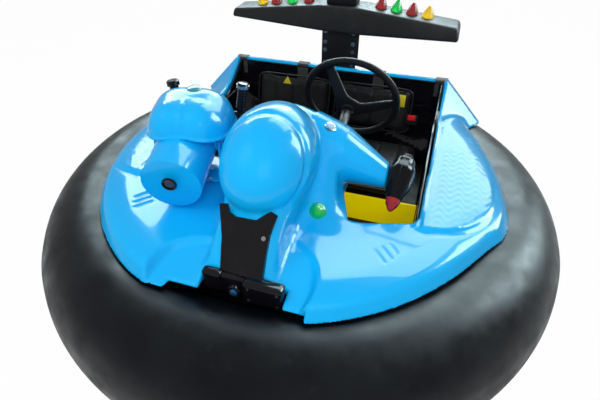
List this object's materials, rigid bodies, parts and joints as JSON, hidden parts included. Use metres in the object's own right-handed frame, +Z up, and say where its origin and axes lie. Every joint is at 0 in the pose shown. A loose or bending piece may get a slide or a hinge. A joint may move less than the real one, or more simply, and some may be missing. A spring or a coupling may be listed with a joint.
{
  "type": "two-seat inflatable ring bumper car",
  "caption": "Battery bumper car in an inflated rubber ring, with a two-seat cockpit, steering wheel, swivelling toy cannon and rear light board.",
  "frame": {"origin": "on the floor under the centre of the ring tube", "axes": "+Z up, -Y the direction of travel, +X the driver's side with the steering wheel, which is the car's left"},
  "size_m": [1.8, 1.8, 0.892],
  "materials": {
    "tube_rubber": "matt moulded rubber with a grey bloom",
    "shell_blue": "glossy azure gelcoat",
    "black_gloss": "gloss black moulding",
    "black_matt": "matt black moulding",
    "steel_painted": "black painted steel",
    "steel_plain": "plain steel",
    "tyre_rubber": "solid rubber tyre",
    "hub_alloy": "cast alloy",
    "seat_vinyl": "black padded vinyl",
    "yellow_panel": "glossy yellow panel",
    "webbing": "black webbing",
    "board_grey": "dark grey board",
    "lamp_red": "red translucent lamp",
    "lamp_green": "green translucent lamp",
    "lamp_yellow": "yellow translucent lamp",
    "lamp_blue": "blue translucent lens",
    "lamp_clear": "clear faceted lamp",
    "cap_teal": "dark teal cap"
  },
  "bodies": {
    "car": {"bumper_tube": "tube_rubber", "tube_rim": "steel_painted", "floor_frame": "steel_painted", "rear_axle": "steel_plain", "cockpit_tub": "black_matt", "console": "shell_blue", "console_base": "shell_blue", "body_deck": "shell_blue", "egg_cowl": "shell_blue", "seat_box": "yellow_panel", "battery": "black_matt", "seat_cushion_left": "seat_vinyl", "seat_cushion_right": "seat_vinyl", "back_pad_left": "seat_vinyl", "back_pad_right": "seat_vinyl", "mast": "shell_blue", "mast_plates": "black_matt", "light_board": "board_grey", "signal_box": "black_matt", "lamps_red": "lamp_red", "lamps_green": "lamp_green", "lamps_yellow": "lamp_yellow", "dash_lamp_clear": "lamp_clear", "front_trim": "black_gloss", "lamp_bar": "black_gloss", "front_lens": "lamp_blue", "dash_arm": "shell_blue", "side_pod": "black_gloss", "pod_lamp": "lamp_red", "steering_column": "steel_painted", "gun_pedestal": "shell_blue", "belts": "webbing", "pedal": "steel_painted"},
    "rear_left_wheel": {"rear_left_hub": "hub_alloy", "rear_left_tyre": "tyre_rubber"},
    "rear_right_wheel": {"rear_right_hub": "hub_alloy", "rear_right_tyre": "tyre_rubber"},
    "steered_fork": {"drive_fork": "steel_plain"},
    "drive_wheel": {"drive_hub": "hub_alloy", "drive_tyre": "tyre_rubber"},
    "steering": {"steering_wheel": "black_matt"},
    "cannon_yoke": {"gun_yoke": "shell_blue"},
    "cannon": {"gun_barrel": "shell_blue", "gun_hood": "shell_blue", "gun_cap": "cap_teal", "gun_lens": "black_gloss", "gun_grips": "black_matt"}
  },
  "joints": [
    {"name": "rear_left_spin", "type": "hinge", "parent": "car", "child": "rear_left_wheel", "pos_m": [0.34, 0.3, 0.08], "axis": [1, 0, 0], "continuous": true},
    {"name": "rear_right_spin", "type": "hinge", "parent": "car", "child": "rear_right_wheel", "pos_m": [-0.34, 0.3, 0.08], "axis": [1, 0, 0], "continuous": true},
    {"name": "steering_turn", "type": "hinge", "parent": "car", "child": "steering", "pos_m": [0.148, 0.1, 0.672], "axis": [0, 0.9537, 0.3007], "range_deg": [-110, 110]},
    {"name": "fork_turn", "type": "hinge", "parent": "car", "child": "steered_fork", "pos_m": [0, -0.33, 0.19], "axis": [0, 0, 1], "range_deg": [-82.5, 82.5]},
    {"name": "drive_spin", "type": "hinge", "parent": "steered_fork", "child": "drive_wheel", "pos_m": [0, -0.33, 0.08], "axis": [1, 0, 0], "continuous": true},
    {"name": "cannon_swing", "type": "hinge", "parent": "car", "child": "cannon_yoke", "pos_m": [-0.279, -0.243, 0.625], "axis": [0, 0, 1], "range_deg": [-22, 8]},
    {"name": "cannon_tilt", "type": "hinge", "parent": "cannon_yoke", "child": "cannon", "pos_m": [-0.279, -0.243, 0.625], "axis": [-0.9781, -0.2079, 0], "range_deg": [-2, 16]}
  ],
  "couplings": [
    {"joint": "fork_turn", "follows": "steering_turn", "ratio": 0.75}
  ]
}
